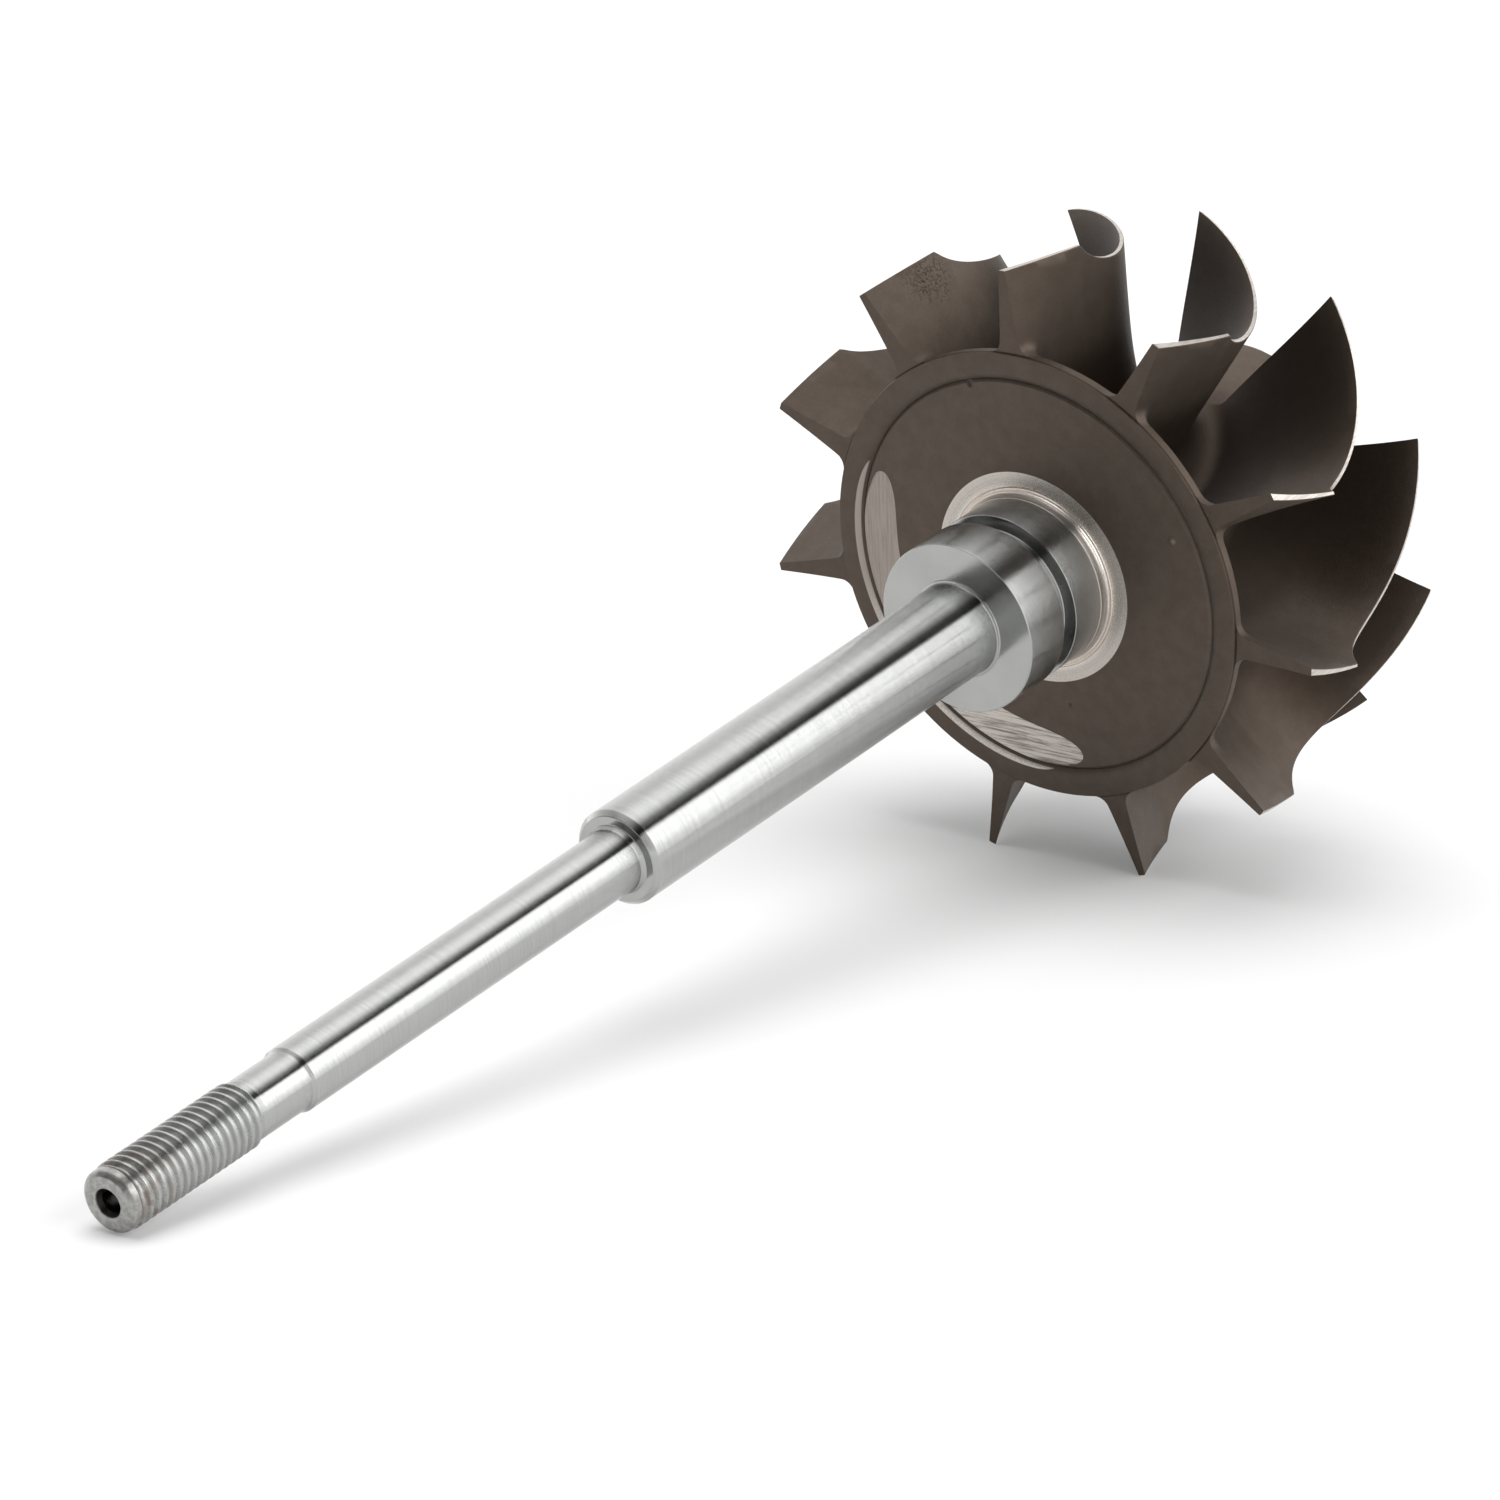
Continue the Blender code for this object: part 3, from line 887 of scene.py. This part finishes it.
def shaft_outline():
    return rounded([
        (0.0, PAD_S + 0.2, 0), (COLLAR_R - 0.4, PAD_S + 0.2, 0), (COLLAR_R, PAD_S - 0.3, 0.3),
        (COLLAR_R, GROOVE_BACK_S, 0.08), (GROOVE_R, GROOVE_BACK_S, 0.15),
        (GROOVE_R, GROOVE_FRONT_S, 0.15), (BOSS_R, GROOVE_FRONT_S, 0.08),
        (BOSS_R, 0.0, 0.12), (JOURNAL_R + 0.3, 0.0, 0.05), (JOURNAL_R + 0.22, -0.08, 0.04),
        (JOURNAL_R, -0.12, 0.2), (JOURNAL_R, JOURNAL_END_S + 0.55, 0.15),
        (JOURNAL_R - 0.45, JOURNAL_END_S, 0.15), (STUB_R + 0.25, JOURNAL_END_S, 0.2),
        (STUB_R, JOURNAL_END_S - 0.4, 0.3), (STUB_R, STUB_END_S + 0.35, 0.1),
        (RELIEF_R, STUB_END_S, 0.2), (RELIEF_R, THREAD_START_S + 0.4, 0.1),
        (THREAD_R - THREAD_DEPTH - 0.02, THREAD_START_S, 0.1),
        (THREAD_R - THREAD_DEPTH - 0.02, THREAD_END_S + 1.5, 0.1),
        (THREAD_END_R, THREAD_END_S + 1.0, 0.15), (THREAD_END_R, THREAD_END_S + 0.35, 0.5),
        (THREAD_END_R - 0.5, THREAD_END_S, 0.3), (CENTRE_CONE_R, THREAD_END_S, 0.12),
        (CENTRE_HOLE_R, THREAD_END_S + 0.5, 0.05), (CENTRE_HOLE_R, THREAD_END_S + 4.0, 0),
        (0.0, THREAD_END_S + 4.5, 0),
    ])


def crescent_outline(steps=90):
    """Outline of the balance grinding: a band along the groove with rounded ends."""
    sides = ([], [])
    for i in range(steps + 1):
        turn = math.pi * (i / steps - 0.5)
        part = math.sin(turn)
        angle = math.radians(GRIND_ANGLE + GRIND_SWEEP * part)
        ease = abs(part) ** 7
        half = GRIND_HALF * math.sqrt(max(0.0, 1 - ease))
        middle = GRIND_PATH_R + GRIND_END_OUT * ease
        for side, r in zip(sides, (middle - half, middle + half)):
            side.append((r * math.cos(angle), r * math.sin(angle)))
    return sides[0] + sides[1][-2:0:-1]


def prism(outline, low_s, high_s):
    """A solid of one thickness with the given outline in the plane across the axis."""
    form = bmesh.new()
    low = [form.verts.new((x, y, low_s)) for x, y in outline]
    high = [form.verts.new((x, y, high_s)) for x, y in outline]
    form.faces.new(low[::-1])
    form.faces.new(high)
    for i in range(len(outline)):
        k = (i + 1) % len(outline)
        form.faces.new((low[i], low[k], high[k], high[i]))
    bmesh.ops.recalc_face_normals(form, faces=form.faces)
    mesh = bpy.data.meshes.new("prism")
    form.to_mesh(mesh)
    form.free()
    return mesh


def carved(mesh, tool_mesh, material):
    """The mesh with the tool cut out of it; the cut takes the given material."""
    tool_mesh.materials.append(material)
    body = bpy.data.objects.new("body", mesh)
    tool = bpy.data.objects.new("tool", tool_mesh)
    for item in (body, tool):
        bpy.context.scene.collection.objects.link(item)
    modifier = body.modifiers.new("Cut", "BOOLEAN")
    modifier.operation = "DIFFERENCE"
    modifier.solver = "EXACT"
    modifier.material_mode = "TRANSFER"
    modifier.object = tool
    depsgraph = bpy.context.evaluated_depsgraph_get()
    result = bpy.data.meshes.new_from_object(body.evaluated_get(depsgraph))
    for item in (body, tool):
        bpy.data.objects.remove(item, do_unlink=True)
    return result


def back_outline():
    return rounded([
        (0.0, LAND_S + 0.3, 0), (LAND_R + 0.1, LAND_S + 0.3, 0), (LAND_R - 0.04, LAND_S + 0.16, 0.1),
        (LAND_R - 0.25, LAND_S, 0.2),
        (MACHINED_R + 0.05, MACHINED_S + 0.03, 0.05), (MACHINED_R, MACHINED_S, 0.02),
        (PAD_FOOT_R + 0.05, MACHINED_S, 0.04), (PAD_FOOT_R, MACHINED_S + 0.2, 0.03),
        (PAD_FOOT_R - 0.12, MACHINED_S - 0.2, 0.1), (PAD_FOOT_R - 0.24, MACHINED_S + 0.05, 0.03),
        (PAD_FOOT_R - 0.38, MACHINED_S - 0.3, 0.1), (PAD_FOOT_R - 0.44, MACHINED_S - 0.2, 0.03),
        (PAD_R, PAD_S + 0.2, 0.1), (PAD_R - 0.15, PAD_S - 0.3, 0.1), (0.0, PAD_S - 0.3, 0),
    ])


def add_piece(name, mesh, material, smooth_angle=35.0, replaced=()):
    if material:
        mesh.materials.clear()
        mesh.materials.append(material)
    piece = finished(name, mesh, smooth_angle)
    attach(piece, "root")
    if replaced:
        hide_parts(*replaced)
    return piece


def add_casting():
    material = casting_material()
    sheet, identifiers = blade_ring_tree(material)
    values = {"Blades": BLADE_COUNT, "Step": BLADE_STEP, "Weld": 0.002}
    mesh = grow(sector_mesh(), sheet, identifiers, values)
    blades = [f"blade_{number + 1:02d}" for number in range(BLADE_COUNT)]
    add_piece("wheel_casting", mesh, material, 30.0, ["hub", *blades])
    disc = lathe(back_outline(), 264)
    disc.materials.append(back_material())
    cutter = prism(crescent_outline(), MACHINED_S - 1.0, LAND_S + GRIND_DEPTH)
    add_piece("back_face", carved(disc, cutter, crescent_material()), None)
    add_nose(material)


def hexagon_radius(angle):
    """Distance from the axis to the rounded hexagon in the direction of an angle."""
    turned = (angle - math.radians(NOSE_HEX_TURN)) % (math.tau / 6) - math.tau / 12
    flat = NOSE_HEX_R * math.cos(math.tau / 12) / math.cos(turned)
    return min(flat, NOSE_HEX_R - 0.25)


def add_nose(material):
    """Cast hexagon on the end of the hub, with rounded edges and a drilled centre."""
    segments = 144
    form = bmesh.new()
    levels = [(NOSE_SHOULDER_S - 0.3, 0.0, 0.5), (NOSE_SHOULDER_S, 0.0, 0.5),
              (NOSE_SHOULDER_S + 0.12, 0.0, 0.15), (NOSE_SHOULDER_S + 0.35, 0.0, 0.0)]
    levels += [(NOSE_END_S - 0.5 + 0.5 * math.sin(math.radians(15 * i)), 0.0,
                -0.5 + 0.5 * math.cos(math.radians(15 * i))) for i in range(7)]
    levels += [(NOSE_END_S, NOSE_HOLE_R + 0.25, 0.0), (NOSE_END_S - 0.1, NOSE_HOLE_R + 0.05, 0.0),
               (NOSE_END_S - NOSE_HOLE_DEPTH + 0.9, NOSE_HOLE_R, 0.0)]
    rows = []
    for s, fixed_r, grown in levels:
        row = []
        for k in range(segments):
            angle = math.tau * k / segments
            r = fixed_r or hexagon_radius(angle) + grown
            row.append(form.verts.new(polar(angle, s, r)))
        rows.append(row)
    for first, second in zip(rows, rows[1:]):
        bridge(form, first + first[:1], second + second[:1])
    tip = form.verts.new((0.0, 0.0, NOSE_END_S - NOSE_HOLE_DEPTH))
    for a, b in zip(rows[-1], rows[-1][1:] + rows[-1][:1]):
        form.faces.new((a, b, tip))
    form.faces.new(rows[0][::-1])
    mesh = bpy.data.meshes.new("nose")
    form.to_mesh(mesh)
    form.free()
    add_piece("nose_hexagon", mesh, material, 30.0)


def add_shaft():
    material = steel_material()
    add_piece("turned_shaft", lathe(shaft_outline(), 192), material, 40.0,
              ["shaft"])
    sheet, identifiers = thread_tree(thread_material())
    length = THREAD_START_S - THREAD_END_S - 0.75
    values = {"Around": math.tau, "Length": length,
              "Start": THREAD_START_S - length / 2, "Crest radius": THREAD_R,
              "Depth": THREAD_DEPTH, "Pitch": THREAD_PITCH, "Weld": 0.002}
    mesh = grow(bpy.data.meshes.new("thread"), sheet, identifiers, values)
    add_piece("rolled_thread", mesh, None, 60.0)


CAMERA_PLACE = PLACE @ Vector((322.26, 442.75, -559.36))
CAMERA_WAY = Vector((0.7641, 0.58247, -0.27726))
CAMERA_RIGHT = Vector((0.60716, -0.79457, 0.00404))
CAMERA_LENS = 207.26


def add_camera():
    data = bpy.data.cameras.new("camera")
    data.lens = CAMERA_LENS
    data.sensor_width = 36.0
    data.clip_start = 0.01
    camera = bpy.data.objects.new("camera", data)
    way = CAMERA_WAY.normalized()
    up = CAMERA_RIGHT.cross(way).normalized()
    right = way.cross(up)
    camera.matrix_world = Matrix((
        (right.x, up.x, -way.x, CAMERA_PLACE.x),
        (right.y, up.y, -way.y, CAMERA_PLACE.y),
        (right.z, up.z, -way.z, CAMERA_PLACE.z),
        (0.0, 0.0, 0.0, 1.0),
    ))
    bpy.context.scene.collection.objects.link(camera)
    bpy.context.scene.camera = camera


def add_floor():
    mesh = bpy.data.meshes.new("floor")
    form = bmesh.new()
    bmesh.ops.create_grid(form, x_segments=1, y_segments=1, size=4.0)
    form.to_mesh(mesh)
    form.free()
    floor = bpy.data.objects.new("floor", mesh)
    material, sheet, shader = new_material("pale_floor")
    connect(sheet, shader, Base_Color=(0.62, 0.62, 0.62, 1.0), Roughness=0.9,
            Emission_Color=(1.0, 1.0, 1.0, 1.0), Emission_Strength=0.15)
    mesh.materials.append(material)
    bpy.context.scene.collection.objects.link(floor)


def add_top_light():
    """Large soft lamp over the floor; the dull floor takes it, polished metal doesn't show it."""
    data = bpy.data.lights.new("top_light", "SUN")
    data.energy = 1.2
    data.angle = math.radians(50)
    light = bpy.data.objects.new("top_light", data)
    light.visible_glossy = False
    bpy.context.scene.collection.objects.link(light)


def add_world():
    """A light tent round the shaft: a low card, a dark gap above it, then the ceiling."""
    world = bpy.data.worlds.new("studio")
    world.use_nodes = True
    bpy.context.scene.world = world
    sheet = Sheet(world.node_tree)
    way = sheet.node("ShaderNodeTexCoord")
    up = dot(sheet, way, BLADE_ONE_WAY)
    side = dot(sheet, way, SIDE_WAY)
    turn = up.math("ARCTAN2", side) * (180 / math.pi)
    card = turn.ramp(-10.0, 25.0, 0.85, 1.6) * turn.ramp(45.0, 53.0, 1.0, 0.0)
    ceiling = turn.ramp(62.0, 92.0, 0.05, 1.15) * turn.ramp(102.0, 128.0, 1.0, 0.58)
    back = turn.ramp(150.0, 178.0, 0.0, 0.25)
    light = card + ceiling * turn.ramp(53.0, 60.0) + back
    ahead = dot(sheet, way, AXIS)
    light = light * ahead.ramp(-0.5, 0.1, 0.28, 2.0) * ahead.ramp(0.4, 0.65, 1.0, 0.76)
    background = world.node_tree.nodes["Background"]
    background.inputs["Color"].default_value = (1.0, 1.0, 1.0, 1.0)
    sheet.tree.links.new(light.socket, background.inputs["Strength"])


def set_view():
    bpy.context.scene.view_settings.view_transform = "Standard"


add_casting()
add_shaft()
add_floor()
add_top_light()
add_world()
set_view()
add_camera()
